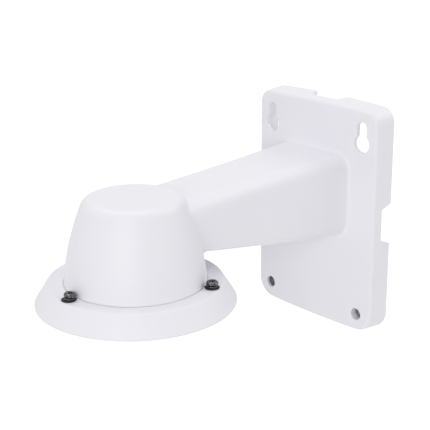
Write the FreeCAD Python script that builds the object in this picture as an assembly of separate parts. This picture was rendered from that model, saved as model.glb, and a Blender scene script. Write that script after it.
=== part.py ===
import FreeCAD, Part
import math
import os

os.makedirs("parts", exist_ok=True)

Vector = FreeCAD.Vector
Z_AXIS = Vector(0, 0, 1)

# A wall-mounted pendant adapter, in mm. The wall is the plane y = 0, the arm points along -Y
# and the camera hangs below the cup. The origin is the centre of the wall plate's back.

# Wall plate. Its front outline is a little smaller than its back outline, its top and bottom
# edges rise towards mid-width, and its front is gently bulged.
plate_width = 130.6
plate_height = 187.0
plate_depth = 19.3
plate_flare = 1.0
plate_crown_front = 1.1
plate_crown_rear = 2.0
plate_bulge = 1.6
plate_top_corner = 11.0
plate_low_corner = 16.0
plate_edge = 3.3
plate_wall = 3.5
plate_web = 3.5

# Fixings to the wall
fixing_spacing_x = 100.0
fixing_spacing_z = 159.0
fixing_hole = 9.8
fixing_boss_wall = 3.2
keyhole_slot = 9.4
keyhole_head = 14.8
keyhole_travel = 12.8

# Conduit notches in the plate's four sides, cut in from the wall side
notch_mouth = 34.0
notch_floor = 26.0
notch_depth = 10.0
notch_corner = 2.5

# Ribs inside the plate, in line with the arm's walls
rib_thickness = 3.0
rib_height = 5.5

# Arm. Its section is a rounded rectangle that narrows from the plate to the cup.
arm_root_width = 77.0
arm_root_top = 54.7
arm_root_bottom = -16.4
arm_end_width = 62.0
arm_end_top = 48.8
arm_end_bottom = 7.4
arm_waist = 2.2
arm_sag = 0.6
arm_arch = 0.4
arm_top_corner = 12.0
arm_root_low_corner = 17.0
arm_end_low_corner = 1.5
arm_low_corner_waist = 3.0
arm_wall = 4.0
passage_top_bevel = 5.0
passage_low_bevel = 7.5
arm_root_fillet = 3.3
arm_cup_fillet = 2.5

# Cup: a bell turned about a vertical axis
reach = 210.0
cup_base_radius = 53.1
cup_height = 63.6
cup_lean_base = 5.7
cup_lean_shoulder = 22.4
cup_shoulder = 8.0
cup_wall = 3.6
cup_bore_height = 6.0
cup_rim_wall = 3.4

# Flange ring under the cup
flange_radius = 75.0
flange_height = 16.4
flange_skirt_run = 9.6
flange_bevel = 1.0
flange_web = 4.0
flange_skirt = 3.4
flange_land = 1.0
flange_opening = 79.0
flange_drop = -27.4
spigot_height = 3.0
spigot_wall = 2.6
fit_clearance = 0.2

# Screws that hold the camera, through the ring's ledge
camera_screw_inset = 5.9
camera_screw_length = 16.0
camera_screw_boss = 11.0
camera_screw_boss_height = 2.0
camera_screw_neck = 4.1
camera_screw_neck_relief = 0.9
pan_head_diameter = 9.5
pan_head_height = 3.4
pan_head_bevel = 1.1
screw_diameter = 5.0
screw_hole = 5.5
recess_width = 1.1
recess_span = 5.0
recess_foot = 1.8
recess_depth = 1.9
seal_washer_diameter = 11.0
seal_washer_thickness = 1.0
lock_washer_diameter = 8.2
lock_washer_thickness = 1.1
lock_washer_gap = 0.9
washer_bore = 5.3

# Screws that hold the ring to the cup, from beneath
ring_screw_circle = 89.8
ring_screw_length = 12.0
ring_screw_diameter = 4.0
ring_screw_hole = 4.5
ring_head_diameter = 8.0
ring_head_height = 3.1
ring_boss_diameter = 9.2
ring_boss_height = 14.0
ring_boss_relief = 1.5
thread_clearance = 0.1

# Positions that follow from the sizes above
ledge_z = flange_drop + flange_height
flange_ledge_radius = flange_radius - flange_skirt_run
camera_screw_circle = 2 * (flange_ledge_radius - camera_screw_inset)
plate_front = -(plate_depth + plate_bulge)
arm_end_inset = 45.0
arm_end_y = -reach + arm_end_inset
camera_screw_angles = {"front": -90.0, "right": 30.0, "left": 150.0}
ring_screw_angles = {"rear": 90.0, "left": 210.0, "right": 330.0}
overlap = 1.0


def mix(start, end, share):
    return start + (end - start) * share


def on_circle(diameter, angle, z):
    """A point on a circle about the cup's axis."""
    turn = math.radians(angle)
    radius = diameter / 2
    return Vector(radius * math.cos(turn), radius * math.sin(turn) - reach, z)


def cylinder(diameter, length, base, axis=Z_AXIS):
    return Part.makeCylinder(diameter / 2, length, base, axis)


def turned(edges):
    """A solid turned about the cup's axis from a closed profile in the plane x = radius, z."""
    face = Part.Face(Part.Wire(edges))
    solid = face.revolve(Vector(0, 0, 0), Z_AXIS, 360)
    solid.translate(Vector(0, -reach, 0))
    return solid


def polygon(points):
    """The closed run of edges through points given as (radius, z)."""
    corners = [Vector(r, 0, z) for r, z in points]
    return [Part.makeLine(a, b) for a, b in zip(corners, corners[1:] + corners[:1])]


def edges_between(shape, first, second):
    """The edges that part a face of one kind from a face of another kind."""
    found = []
    for face in filter(first, shape.Faces):
        for other in filter(second, shape.Faces):
            for edge in face.Edges:
                if any(edge.isSame(candidate) for candidate in other.Edges):
                    found.append(edge)
    return found


# Wall plate

def plate_outline(y, inset):
    """The plate's outline in the plane y: straight sides, arched top and bottom."""
    share = 1 + y / plate_depth
    half_x = plate_width / 2 + plate_flare * share - inset
    half_z = plate_height / 2 + plate_flare * share - inset
    crest = half_z + mix(plate_crown_front, plate_crown_rear, share)
    corners = [Vector(x * half_x, y, z * half_z) for x, z in ((-1, 1), (1, 1), (1, -1), (-1, -1))]
    top = Part.Arc(corners[0], Vector(0, y, crest), corners[1]).toShape()
    bottom = Part.Arc(corners[2], Vector(0, y, -crest), corners[3]).toShape()
    right = Part.makeLine(corners[1], corners[2])
    left = Part.makeLine(corners[3], corners[0])
    return Part.Wire([top, right, bottom, left])


def plate_block(rear, inset, front_inset):
    """The plate's form, drawn in by inset at its sides and by front_inset at its front."""
    front = plate_front - overlap
    block = Part.makeLoft([plate_outline(rear, inset), plate_outline(front, inset)], True, True)
    for side, radius in ((1, plate_top_corner), (-1, plate_low_corner)):
        corner_edges = [edge for edge in block.Edges if side * edge.CenterOfMass.z > 0
                        and abs(edge.tangentAt(edge.FirstParameter).y) > 0.9]
        block = block.makeFillet(radius - inset, corner_edges)
    half_x = plate_width / 2
    front_radius = (half_x ** 2 + plate_bulge ** 2) / (2 * plate_bulge)
    axis_base = Vector(0, plate_front + front_radius, -plate_height)
    return block.common(cylinder(2 * (front_radius - front_inset), 2 * plate_height, axis_base))


def plate_outer():
    block = plate_block(0, 0, 0)
    def is_front(face):
        return isinstance(face.Surface, Part.Cylinder) and face.Surface.Radius > plate_height
    front_face = next(face for face in block.Faces if is_front(face))
    return block.makeFillet(plate_edge, front_face.Edges)


def fixing_points(side_z):
    return [(side_x * fixing_spacing_x / 2, side_z * fixing_spacing_z / 2) for side_x in (-1, 1)]


def fixing_bosses():
    """Tubes behind the lower holes, from the plate's front to the wall."""
    diameter = fixing_hole + 2 * fixing_boss_wall
    length = plate_depth - plate_web / 2
    return [cylinder(diameter, length, Vector(x, -length, z), Vector(0, 1, 0))
            for x, z in fixing_points(-1)]


def fixing_holes():
    length = 3 * plate_depth
    y_axis = Vector(0, 1, 0)
    lower = [cylinder(fixing_hole, length, Vector(x, -length / 2, z), y_axis)
             for x, z in fixing_points(-1)]
    upper = []
    for x, z in fixing_points(1):
        seat = cylinder(keyhole_slot, length, Vector(x, -length / 2, z), y_axis)
        entry = cylinder(keyhole_head, length, Vector(x, -length / 2, z - keyhole_travel), y_axis)
        corner = Vector(x - keyhole_slot / 2, -length / 2, z - keyhole_travel)
        slot = Part.makeBox(keyhole_slot, length, keyhole_travel, corner)
        upper += [seat, entry, slot]
    return lower + upper


def conduit_notches():
    """Trapezoid gaps through the plate's four sides, open towards the wall."""
    mouth = notch_mouth / 2 + overlap * (notch_mouth - notch_floor) / (2 * notch_depth)
    floor = notch_floor / 2
    points = [Vector(-mouth, overlap, 0), Vector(-floor, -notch_depth, 0),
              Vector(floor, -notch_depth, 0), Vector(mouth, overlap, 0)]
    outline = Part.makePolygon(points + points[:1])
    through = 4 * plate_wall
    notches = []
    for turn, distance in ((0, plate_height / 2), (90, plate_width / 2),
                           (180, plate_height / 2), (270, plate_width / 2)):
        block = Part.Face(outline).extrude(Vector(0, 0, through))
        floor_edges = [edge for edge in block.Edges
                       if abs(edge.CenterOfMass.y + notch_depth) < 0.01
                       and abs(edge.tangentAt(edge.FirstParameter).z) > 0.9]
        block = block.makeFillet(notch_corner, floor_edges)
        block.translate(Vector(0, 0, distance - through / 2))
        block.rotate(Vector(0, 0, 0), Vector(0, 1, 0), turn)
        notches.append(block)
    return notches


def plate_ribs():
    """Ribs in line with the arm's four walls, from one side of the plate to the other."""
    depth = plate_web + rib_height
    ribs = []
    for side in (-1, 1):
        x = side * (arm_root_width - arm_wall) / 2
        corner = Vector(x - rib_thickness / 2, plate_front, -plate_height / 2)
        ribs.append(Part.makeBox(rib_thickness, depth, plate_height, corner))
    for z in (arm_root_top - arm_wall / 2, arm_root_bottom + arm_wall / 2):
        corner = Vector(-plate_width / 2, plate_front, z - rib_thickness / 2)
        ribs.append(Part.makeBox(plate_width, depth, rib_thickness, corner))
    inside_walls = plate_block(0, plate_wall / 2, plate_web / 2)
    return [rib.common(inside_walls) for rib in ribs]


# Arm

def arm_sides(share, inset):
    """The arm's section at a share of the way from the plate's front to arm_end_y: y, half its
    width, its top and its bottom, drawn in by inset."""
    y = mix(plate_front, arm_end_y, share)
    bow = 4 * share * (1 - share)
    half_x = mix(arm_root_width, arm_end_width, share) / 2 - arm_waist * bow - inset
    top = mix(arm_root_top, arm_end_top, share) + arm_arch * bow - inset
    bottom = mix(arm_root_bottom, arm_end_bottom, share) - arm_sag * bow + inset
    return y, half_x, top, bottom


def arm_low_corner(share):
    """The radius of the lower corners, large at the plate and nearly sharp at the cup."""
    bow = 4 * share * (1 - share)
    radius = mix(arm_root_low_corner, arm_end_low_corner, share) - arm_low_corner_waist * bow
    return max(radius, arm_end_low_corner)


def arm_section(share):
    """The arm's outline: a rectangle with round corners."""
    y, half_x, top, bottom = arm_sides(share, 0)
    high, low = arm_top_corner, arm_low_corner(share)
    centres = [(half_x - high, top - high, high, 0), (-half_x + high, top - high, high, 90),
               (-half_x + low, bottom + low, low, 180), (half_x - low, bottom + low, low, 270)]
    arcs = []
    for x, z, radius, start in centres:
        ends = [Vector(x + radius * math.cos(math.radians(start + turn)), y,
                       z + radius * math.sin(math.radians(start + turn))) for turn in (0, 45, 90)]
        arcs.append(Part.Arc(*ends).toShape())
    edges = []
    for arc, following in zip(arcs, arcs[1:] + arcs[:1]):
        edges += [arc, Part.makeLine(arc.Vertexes[-1].Point, following.Vertexes[0].Point)]
    return Part.Wire(edges)


def arm_outer():
    return Part.makeLoft([arm_section(share) for share in (-0.06, 0.2, 0.45, 0.7, 0.9, 1.17)], True, True)


def passage_section(share):
    """The corners of the arm's hollow: a rectangle with bevelled corners."""
    y, half_x, top, bottom = arm_sides(share, arm_wall)
    high, low = passage_top_bevel, passage_low_bevel
    right = [(half_x, bottom + low), (half_x, top - high), (half_x - high, top)]
    left = [(-half_x + high, top), (-half_x, top - high), (-half_x, bottom + low)]
    floor = [(-half_x + low, bottom), (half_x - low, bottom)]
    return [Vector(x, y, z) for x, z in right + left + floor]


def arm_passage():
    """The hollow through the arm, from the plate's inside to the cup's, with flat sides."""
    sections = [passage_section(share) for share in (-0.16, 0.33, 0.67, 1.17)]
    outlines = [sections[0], sections[-1]]
    for near, far in zip(sections, sections[1:]):
        for i in range(len(near)):
            outlines.append([near[i - 1], near[i], far[i], far[i - 1]])
    faces = [Part.Face(Part.makePolygon(outline + outline[:1])) for outline in outlines]
    return Part.Solid(Part.Shell(faces))


# Cup

def cup_profile(inset):
    """Points of the bell's outline as (radius, z), drawn in by inset.

    They are the foot, the middle and the top of a leaning arc, then the middle and the end of a
    round shoulder, where the flat crown starts."""
    base = math.radians(cup_lean_base)
    lean = math.radians(cup_lean_shoulder)
    crown = ledge_z + cup_height
    shoulder_start = crown - cup_shoulder * (1 - math.sin(lean))
    side_radius = (shoulder_start - ledge_z) / (math.sin(lean) - math.sin(base))
    side_r = cup_base_radius - side_radius * math.cos(base)
    side_z = ledge_z - side_radius * math.sin(base)
    shoulder_r = side_r + (side_radius - cup_shoulder) * math.cos(lean)
    shoulder_z = crown - cup_shoulder

    def on_side(angle):
        radius = side_radius - inset
        return side_r + radius * math.cos(angle), side_z + radius * math.sin(angle)

    def on_shoulder(angle):
        radius = cup_shoulder - inset
        return shoulder_r + radius * math.cos(angle), shoulder_z + radius * math.sin(angle)

    return [on_side(base), on_side((base + lean) / 2), on_side(lean),
            on_shoulder((lean + math.pi / 2) / 2), on_shoulder(math.pi / 2)]


def cup_block():
    """The bell: a leaning arc, a round shoulder and a flat crown."""
    foot, middle, lean, shoulder, crown = [Vector(r, 0, z) for r, z in cup_profile(0)]
    crown_centre = Vector(0, 0, crown.z)
    foot_centre = Vector(0, 0, foot.z)
    return turned([Part.Arc(foot, middle, lean).toShape(), Part.Arc(lean, shoulder, crown).toShape(),
                   Part.makeLine(crown, crown_centre), Part.makeLine(crown_centre, foot_centre),
                   Part.makeLine(foot_centre, foot)])


def cup_cavity():
    """The hollow in the bell, left by a core turned in straight runs, and a bore at the rim."""
    outline = cup_profile(cup_wall)
    core = turned(polygon([(0, outline[0][1])] + outline + [(0, outline[-1][1])]))
    bore = cylinder(2 * (cup_base_radius - cup_rim_wall), cup_bore_height + overlap,
                    Vector(0, -reach, ledge_z - overlap))
    return core.fuse(bore)


def ring_bosses():
    """Bosses in the cup for the screws that hold the ring, each tied to the cup's wall."""
    bosses = []
    for angle in ring_screw_angles.values():
        centre = on_circle(ring_screw_circle, angle, ledge_z)
        boss = cylinder(ring_boss_diameter, ring_boss_height, centre)
        length = cup_base_radius - cup_rim_wall / 2 - ring_screw_circle / 2
        web = Part.makeBox(length, ring_boss_diameter * 0.7, ring_boss_height,
                           Vector(0, -ring_boss_diameter * 0.35, 0))
        web.rotate(Vector(0, 0, 0), Z_AXIS, angle)
        web.translate(centre)
        bosses.append(boss.fuse(web).common(cup_block()))
    return bosses


def ring_screw_threads():
    depth = ring_screw_length - flange_web + overlap
    return [cylinder(ring_screw_diameter + thread_clearance, depth + overlap,
                     on_circle(ring_screw_circle, angle, ledge_z - overlap))
            for angle in ring_screw_angles.values()]


# The casting

def is_arm(face):
    return isinstance(face.Surface, Part.BSplineSurface) and abs(face.CenterOfMass.z) < plate_height / 3


def is_plate_front(face):
    return isinstance(face.Surface, Part.Cylinder) and face.Surface.Radius > plate_height


def is_cup(face):
    return isinstance(face.Surface, (Part.Toroid, Part.SurfaceOfRevolution))


def bracket_casting():
    body = plate_outer().fuse([arm_outer(), cup_block()])
    body = body.makeFillet(arm_root_fillet, edges_between(body, is_arm, is_plate_front))
    body = body.makeFillet(arm_cup_fillet, edges_between(body, is_arm, is_cup))
    passage = arm_passage()
    body = body.cut([plate_block(overlap, plate_wall, plate_web), passage, cup_cavity()])
    body = body.fuse(fixing_bosses() + plate_ribs() + ring_bosses())
    return body.cut([passage] + fixing_holes() + conduit_notches() + ring_screw_threads())


# Flange ring

def camera_flange():
    """The ring: a conical skirt, a level ledge and a spigot that centres it in the cup."""
    spigot_radius = cup_base_radius - cup_rim_wall - fit_clearance
    opening_radius = flange_opening / 2
    underside = ledge_z - flange_web
    outline = polygon([
        (flange_radius, flange_drop), (flange_radius, flange_drop + flange_land),
        (flange_ledge_radius, ledge_z), (spigot_radius, ledge_z),
        (spigot_radius, ledge_z + spigot_height), (spigot_radius - spigot_wall, ledge_z + spigot_height),
        (spigot_radius - spigot_wall, ledge_z), (opening_radius, ledge_z),
        (opening_radius, underside), (flange_ledge_radius - flange_skirt, underside),
        (flange_radius - flange_skirt, flange_drop)])
    ring = turned(outline)
    rim = [edge for edge in ring.Edges if abs(edge.CenterOfMass.z - ledge_z) < 0.01
           and edge.Length > 2 * math.pi * flange_ledge_radius - 1]
    ring = ring.makeChamfer(flange_bevel, rim)
    bosses = [cylinder(camera_screw_boss, camera_screw_boss_height + overlap,
                       on_circle(camera_screw_circle, angle, underside - camera_screw_boss_height))
              for angle in camera_screw_angles.values()]
    ring = ring.fuse(bosses)
    gaps = [cylinder(ring_boss_diameter + 2 * ring_boss_relief, spigot_height + overlap,
                     on_circle(ring_screw_circle, angle, ledge_z))
            for angle in ring_screw_angles.values()]
    through = flange_height
    camera_holes = [cylinder(screw_hole, through, on_circle(camera_screw_circle, angle, ledge_z - through + 1))
                    for angle in camera_screw_angles.values()]
    ring_holes = [cylinder(ring_screw_hole, through, on_circle(ring_screw_circle, angle, ledge_z - through + 1))
                  for angle in ring_screw_angles.values()]
    return ring.cut(gaps + camera_holes + ring_holes)


# Screws and washers, each drawn upright at the origin with the face under its head at z = 0

def cross_recess(head_top, span, foot):
    """A cross whose ends lean in from span to foot as it goes down into a screw's head."""
    arms = []
    for turn in (0, 90):
        y = -recess_width / 2
        points = [Vector(-span / 2, y, head_top), Vector(span / 2, y, head_top),
                  Vector(foot / 2, y, head_top - recess_depth), Vector(-foot / 2, y, head_top - recess_depth)]
        arm = Part.Face(Part.makePolygon(points + points[:1])).extrude(Vector(0, recess_width, 0))
        arm.rotate(Vector(0, 0, 0), Z_AXIS, turn)
        arms.append(arm)
    return arms[0].fuse(arms[1])


def pan_screw(head_diameter, head_height, shank_diameter, length):
    """A screw with a low round head and a plain shank at the thread's outer size."""
    head = cylinder(head_diameter, head_height, Vector(0, 0, 0))
    shank = cylinder(shank_diameter, length, Vector(0, 0, -length))
    size = head_diameter / pan_head_diameter
    return head.fuse(shank).cut(cross_recess(head_height, recess_span * size, recess_foot * size))


def camera_screw():
    """A captive screw: the neck under its head is thinner than the thread at its end, so the
    sealing washer keeps it in the ring. The head's rim is bevelled."""
    neck_length = (seal_washer_thickness + lock_washer_thickness + flange_web
                   + camera_screw_boss_height + camera_screw_neck_relief)
    screw = pan_screw(pan_head_diameter, pan_head_height, screw_diameter, camera_screw_length)
    crown = [edge for edge in screw.Edges if abs(edge.CenterOfMass.z - pan_head_height) < 0.01
             and edge.Length > pan_head_diameter]
    sleeve = cylinder(screw_diameter, neck_length, Vector(0, 0, -neck_length))
    neck = cylinder(camera_screw_neck, neck_length, Vector(0, 0, -neck_length))
    return screw.makeChamfer(pan_head_bevel, crown).cut(sleeve.cut(neck))


def washer(diameter, thickness, bore, gap=0.0):
    ring = cylinder(diameter, thickness, Vector(0, 0, 0)).cut(cylinder(bore, thickness, Vector(0, 0, 0)))
    if gap:
        ring = ring.cut(Part.makeBox(diameter, gap, thickness, Vector(0, -gap / 2, 0)))
    return ring


def place(shape, diameter, angle, z, turn=0.0, flip=False):
    placed = shape.copy()
    if flip:
        placed.rotate(Vector(0, 0, 0), Vector(1, 0, 0), 180)
    placed.rotate(Vector(0, 0, 0), Z_AXIS, turn)
    placed.translate(on_circle(diameter, angle, z))
    return placed


def camera_fixings():
    """The three camera screws, each on a lock washer on a sealing washer."""
    nodes = {}
    seal = washer(seal_washer_diameter, seal_washer_thickness, washer_bore)
    lock = washer(lock_washer_diameter, lock_washer_thickness, washer_bore, lock_washer_gap)
    screw = camera_screw()
    lock_z = ledge_z + seal_washer_thickness
    head_z = lock_z + lock_washer_thickness
    for name, angle in camera_screw_angles.items():
        nodes["seal_washer_" + name] = place(seal, camera_screw_circle, angle, ledge_z)
        nodes["lock_washer_" + name] = place(lock, camera_screw_circle, angle, lock_z, angle)
        nodes["camera_screw_" + name] = place(screw, camera_screw_circle, angle, head_z, angle)
    return nodes


def ring_fixings():
    """The three screws that hold the ring to the cup, heads down under the ring's web."""
    screw = pan_screw(ring_head_diameter, ring_head_height, ring_screw_diameter, ring_screw_length)
    under = ledge_z - flange_web
    return {"ring_screw_" + name: place(screw, ring_screw_circle, angle, under, angle, True)
            for name, angle in ring_screw_angles.items()}


nodes = {
    "bracket_casting": bracket_casting(),
    "camera_flange": camera_flange(),
}
nodes.update(camera_fixings())
nodes.update(ring_fixings())

for name, shape in nodes.items():
    solids = shape.Solids
    print(name, "solids", len(solids), "valid", shape.isValid(), "volume", round(shape.Volume, 1))
    solid = solids[0] if len(solids) == 1 else Part.makeCompound(solids)
    solid.exportStep("parts/" + name + ".step")
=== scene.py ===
# %% [markdown]
# # A wall-mounted camera adapter
#
# The object is a hollow aluminium casting in white powder coat: an upright wall plate, an arm
# that tapers away from it, and a bell-shaped cup that points down. A conical ring closes the
# cup's mouth, and three screws through the ring's ledge hold a dome camera.
#
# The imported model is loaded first, as a frame that never moves. Each new piece is laid exactly
# where a part of that frame is, and then stands for it. All sizes here are in millimetres, and
# MM turns them to metres, because Blender counts in metres.

# %% The frame
import math

import bmesh
import bpy
import numpy as np
from mathutils import Matrix


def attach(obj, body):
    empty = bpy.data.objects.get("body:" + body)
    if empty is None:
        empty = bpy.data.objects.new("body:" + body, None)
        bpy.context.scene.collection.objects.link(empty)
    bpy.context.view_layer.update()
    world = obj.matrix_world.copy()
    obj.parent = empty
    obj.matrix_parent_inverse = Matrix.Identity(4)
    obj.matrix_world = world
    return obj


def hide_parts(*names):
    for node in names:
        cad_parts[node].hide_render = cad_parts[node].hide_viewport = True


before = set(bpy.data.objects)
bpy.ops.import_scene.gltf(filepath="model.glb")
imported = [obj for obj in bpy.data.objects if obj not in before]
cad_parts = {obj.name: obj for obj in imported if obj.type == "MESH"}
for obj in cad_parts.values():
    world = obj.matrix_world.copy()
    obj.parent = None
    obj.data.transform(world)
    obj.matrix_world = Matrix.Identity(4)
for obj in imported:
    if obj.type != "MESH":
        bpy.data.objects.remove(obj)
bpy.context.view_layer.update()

# %% [markdown]
# ## From arrays to meshes
#
# Every surface below is a grid of points: one direction runs round the piece, the other runs
# along it. Numpy works out all the points at once, and the faces are the squares between
# neighbours. Points that fall together at a pole or a seam are merged, and the faces are turned
# outwards, so that each piece is a closed skin.

# %% Grids and closed skins
MM = 0.001
merge_gap = 1e-7


def new_object(name, points, faces):
    """A closed mesh from points in mm. Points nearer than merge_gap, which is in metres, become
    one, and the faces are turned outwards."""
    mesh = bpy.data.meshes.new(name)
    mesh.from_pydata((np.asarray(points) * MM).tolist(), [], faces)
    skin = bmesh.new()
    skin.from_mesh(mesh)
    bmesh.ops.remove_doubles(skin, verts=skin.verts, dist=merge_gap)
    bmesh.ops.recalc_face_normals(skin, faces=skin.faces)
    skin.to_mesh(mesh)
    skin.free()
    piece = bpy.data.objects.new(name, mesh)
    bpy.context.scene.collection.objects.link(piece)
    return piece


def grid_faces(rows, columns, closed_rows):
    """The squares of a grid whose columns close on themselves. Its rows may close as well."""
    row = np.arange(rows if closed_rows else rows - 1)[:, None]
    column = np.arange(columns)[None, :]
    next_row, next_column = (row + 1) % rows, (column + 1) % columns
    corners = (row * columns + column, row * columns + next_column,
               next_row * columns + next_column, next_row * columns + column)
    return np.stack(np.broadcast_arrays(*corners), axis=-1).reshape(-1, 4).tolist()


def tube(name, rows):
    """A skin through rows of points, each row a closed loop, with a flat cap at both ends."""
    count, columns = rows.shape[:2]
    faces = grid_faces(count, columns, False)
    faces += [list(range(columns)), list(range((count - 1) * columns, count * columns))]
    return new_object(name, rows.reshape(-1, 3), faces)


def turned(name, outline, centre, steps=144):
    """A closed outline of (radius, height) carried once round the upright line through centre."""
    angle = np.linspace(0, 2 * np.pi, steps, endpoint=False)
    radius, height = outline[:, 0, None], outline[:, 1, None]
    x, y = centre[0] + radius * np.cos(angle), centre[1] + radius * np.sin(angle)
    points = np.stack(np.broadcast_arrays(x, y, centre[2] + height), axis=-1)
    return new_object(name, points.reshape(-1, 3), grid_faces(len(outline), steps, True))


print("two rows of four points make", len(grid_faces(2, 4, False)), "faces")

# %% [markdown]
# ## Rounded corners
#
# A casting has no sharp edge anywhere, because metal flows badly round one. One formula does
# all the roundings: a ball that touches two directions at once sits on their bisector, and the
# arc between its two touching points replaces the corner.

# %% The arc in a corner
def unit(vectors):
    """Each vector over its own length."""
    return vectors / np.linalg.norm(vectors, axis=-1, keepdims=True)


def swing(start, end, sweep, share):
    """Turns evenly from start to end: the sine of the angle to go weighs the start, the sine of
    the angle done weighs the end, both over the sine of the whole sweep."""
    return (np.sin((1 - share) * sweep) * start + np.sin(share * sweep) * end) / np.sin(sweep)


def corner_arc(corner, side_a, side_b, radius, steps):
    """Points on the arc that touches both sides of a corner: the centre lies on the bisector at
    radius / sin(half angle), and the arc turns evenly from one touching point to the other."""
    side_a, side_b = unit(side_a), unit(side_b)
    radius = np.asarray(radius, float)[..., None]
    half = np.arccos(np.clip((side_a * side_b).sum(-1, keepdims=True), -1, 1)) / 2
    centre = corner + unit(side_a + side_b) * radius / np.sin(half)
    start = corner + side_a * radius / np.tan(half) - centre
    end = corner + side_b * radius / np.tan(half) - centre
    share = np.linspace(0, 1, steps).reshape((-1,) + (1,) * corner.ndim)
    return centre + swing(start, end, np.pi - 2 * half, share)


def rounded(corners, radii, steps=7):
    """A closed outline through flat corners, each rounded by its own radius."""
    corners = np.asarray(corners, float)
    arcs = corner_arc(corners, np.roll(corners, 1, 0) - corners, np.roll(corners, -1, 0) - corners,
                      np.asarray(radii, float), steps)
    return arcs.transpose(1, 0, 2).reshape(-1, corners.shape[-1])


square = rounded([(0, 0), (10, 0), (10, 10), (0, 10)], [2.0] * 4)
print("a square with round corners has", len(square), "points")

# %% [markdown]
# ## Joining and cutting
#
# Castings are joined and cut the way the moulder does it: the outside is one form, the hollow is
# a core that is taken away. Blender's Boolean modifier does both. Its result is stored as a plain
# mesh and the helpers are thrown away, so nothing unseen is left in the file.

# %% Boolean helper
boolean_solver = "MANIFOLD"


def work(piece, operation, tools):
    """Joins the tools to a piece (UNION) or cuts them from it (DIFFERENCE), and stores the result."""
    for tool in tools:
        step = piece.modifiers.new(operation, "BOOLEAN")
        step.operation, step.object, step.solver = operation, tool, boolean_solver
    view = bpy.context.evaluated_depsgraph_get()
    result = bpy.data.meshes.new_from_object(piece.evaluated_get(view))
    piece.modifiers.clear()
    piece.data = result
    for tool in tools:
        bpy.data.objects.remove(tool)
    assert len(result.polygons), "the boolean left nothing of " + piece.name
    return piece


def smooth(piece, degrees=32):
    """Smooth faces with a hard edge wherever two of them meet at more than some degrees."""
    piece.data.shade_smooth()
    piece.data.set_sharp_from_angle(angle=math.radians(degrees))
    weighted = piece.modifiers.new("even shading", "WEIGHTED_NORMAL")
    weighted.keep_sharp = True
    return piece


print("pieces are joined and cut by the solver", boolean_solver)

# %% [markdown]
# ## The loop of a rounded rectangle
#
# The plate and the arm share one kind of cross-section: a rectangle with round corners. Each
# point of the loop is told once which corner it belongs to, how far it is on its way to the next
# corner, and which way it faces. The same plan then serves every section, so points of one section
# line up with points of the next, and the mesh flows from the arm over the fillet into the plate.

# %% Plan of the loop
def loop_plan(side_steps, corner_steps):
    """Per point: the corner it leaves, the corner it heads for, its share of the way, its angle."""
    turn = np.linspace(0, 90, corner_steps + 1)
    way = np.arange(1, side_steps) / side_steps
    leaves, heads, share, angle = [], [], [], []
    for corner in range(4):
        leaves.append(np.full(len(turn) + len(way), corner))
        heads.append(np.r_[np.full(len(turn), corner), np.full(len(way), (corner + 1) % 4)])
        share.append(np.r_[np.zeros(len(turn)), way])
        angle.append(np.r_[90 * corner + turn, np.full(len(way), 90 * (corner + 1))])
    leaves, heads, share, angle = (np.concatenate(part) for part in (leaves, heads, share, angle))
    return leaves, heads, share, np.radians(angle)


leaves, heads, way_share, facing = loop_plan(22, 14)
corner_side = np.array([1, -1, -1, 1])
corner_is_high = np.array([True, True, False, False])


def rounded_loop(half_x, top, bottom, high, low):
    """x and z of the loop: corner centre plus radius times the facing direction, and in between
    an even mix of the two neighbouring corners."""
    def from_corner(corner):
        radius = np.where(corner_is_high[corner], high, low)
        x = corner_side[corner] * (half_x - radius) + radius * np.cos(facing)
        z = np.where(corner_is_high[corner], top - radius, bottom + radius) + radius * np.sin(facing)
        return x, z
    x0, z0 = from_corner(leaves)
    x1, z1 = from_corner(heads)
    return x0 + (x1 - x0) * way_share, z0 + (z1 - z0) * way_share


print("loop of", len(facing), "points")

# %% [markdown]
# ## The wall plate's two surfaces
#
# The plate is a shallow tray, open towards the wall. Its front is very slightly bulged, like the
# lid of a tin, and its top and bottom edges bow outwards at the middle. Both make light run over
# it softly, where a dead flat plate would look cut from sheet.

# %% Plate sizes and surfaces
plate_half = np.array([65.3, 93.5])
plate_depth, plate_flare, plate_bulge = 19.3, 1.0, 1.6
plate_crown_front, plate_crown_rear = 1.1, 2.0
plate_top_corner, plate_low_corner, plate_edge = 11.0, 16.0, 3.3
plate_wall, plate_web = 3.5, 3.5
plate_front = -(plate_depth + plate_bulge)
bulge_radius = (plate_half[0] ** 2 + plate_bulge ** 2) / (2 * plate_bulge)
bulge_axis_y = plate_front + bulge_radius


def front_y(x, inset=0.0):
    """The bulged front: part of a wide upright cylinder."""
    return bulge_axis_y - np.sqrt((bulge_radius - inset) ** 2 - x ** 2)


def plate_loop(y, inset):
    """The plate's outline at depth y. It spreads a little towards the wall, and the bow of its
    top and bottom is largest at mid-width."""
    share = 1 + y / plate_depth
    half_x, half_z = plate_half + plate_flare * share - inset
    x, z = rounded_loop(half_x, half_z, -half_z, plate_top_corner - inset, plate_low_corner - inset)
    crown = plate_crown_front + (plate_crown_rear - plate_crown_front) * share
    z = z + np.sign(z) * crown * (1 - (x / half_x) ** 2)
    return np.stack([x, np.broadcast_to(y, x.shape), z], axis=-1)


def plate_sharp_edge(inset, front_inset):
    """Where the side wall would meet the front, and the two directions that leave that edge: back
    to the rim, and inwards, square to the edge and along the front."""
    rim, edge = plate_loop(0.0, inset), plate_loop(-plate_depth, inset)
    y = front_y(edge[:, 0], front_inset)
    edge = edge + (rim - edge) * (1 + y / plate_depth)[:, None]
    edge[:, 1] = y
    along = np.roll(edge, -1, 0) - np.roll(edge, 1, 0)
    inward = np.cross(unit(along), np.array([0.0, 1.0, 0.0]))
    inward *= -np.sign((inward * edge).sum(-1, keepdims=True))
    inward[:, 1] = inward[:, 0] * edge[:, 0] / (bulge_radius - front_inset)
    return edge, rim - edge, inward


print("bulge radius", round(bulge_radius), "mm, front at", plate_front)

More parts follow.
